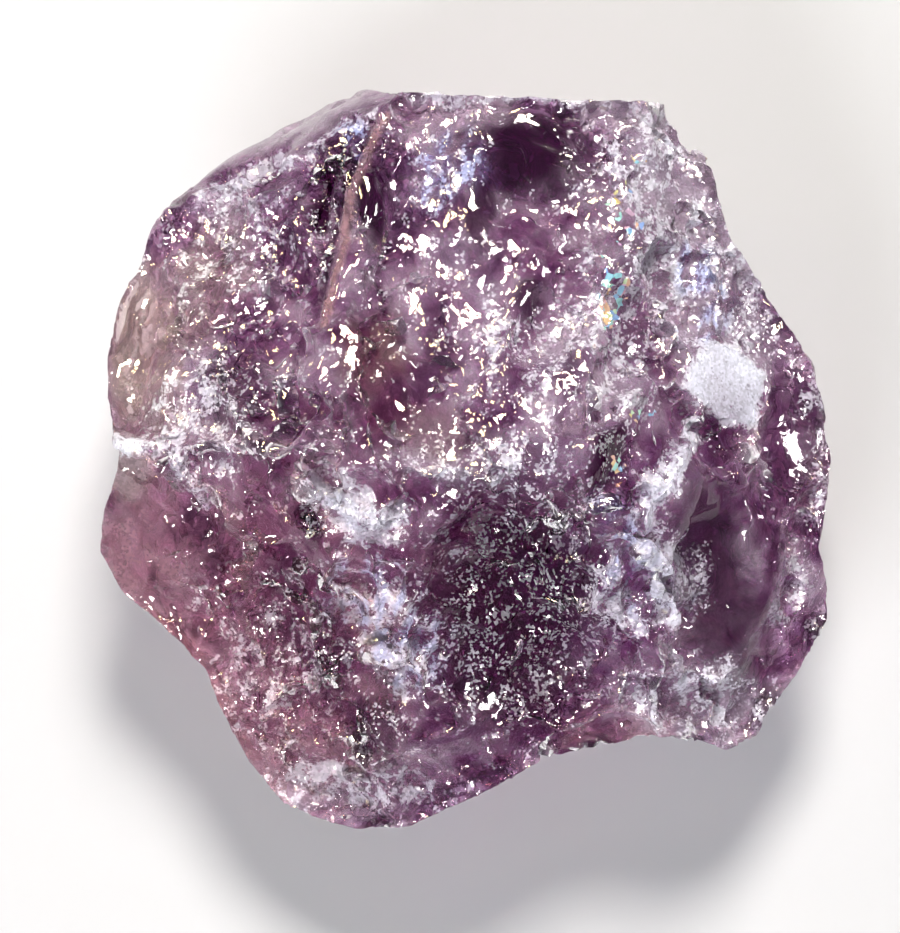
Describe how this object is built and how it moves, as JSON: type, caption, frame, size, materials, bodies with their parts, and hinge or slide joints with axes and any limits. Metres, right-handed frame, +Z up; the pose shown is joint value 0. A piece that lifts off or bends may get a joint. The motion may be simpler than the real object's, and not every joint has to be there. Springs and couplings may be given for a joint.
{
  "type": "rough amethyst",
  "caption": "Rough broken chunk of translucent purple amethyst with a smooth bevel, scooped glassy fracture faces and a flat back that it rests on.",
  "frame": {"origin": "middle of the bounding box's underside, on the flat break that the stone rests on", "axes": "+Z up, out of the glassy front that the picture shows; +Y towards the straight far edge; +X to the right of that view"},
  "size_m": [0.0376, 0.038, 0.0212],
  "materials": {
    "amethyst": "gloss"
  },
  "bodies": {
    "root": {"amethyst": "amethyst"}
  },
  "joints": []
}
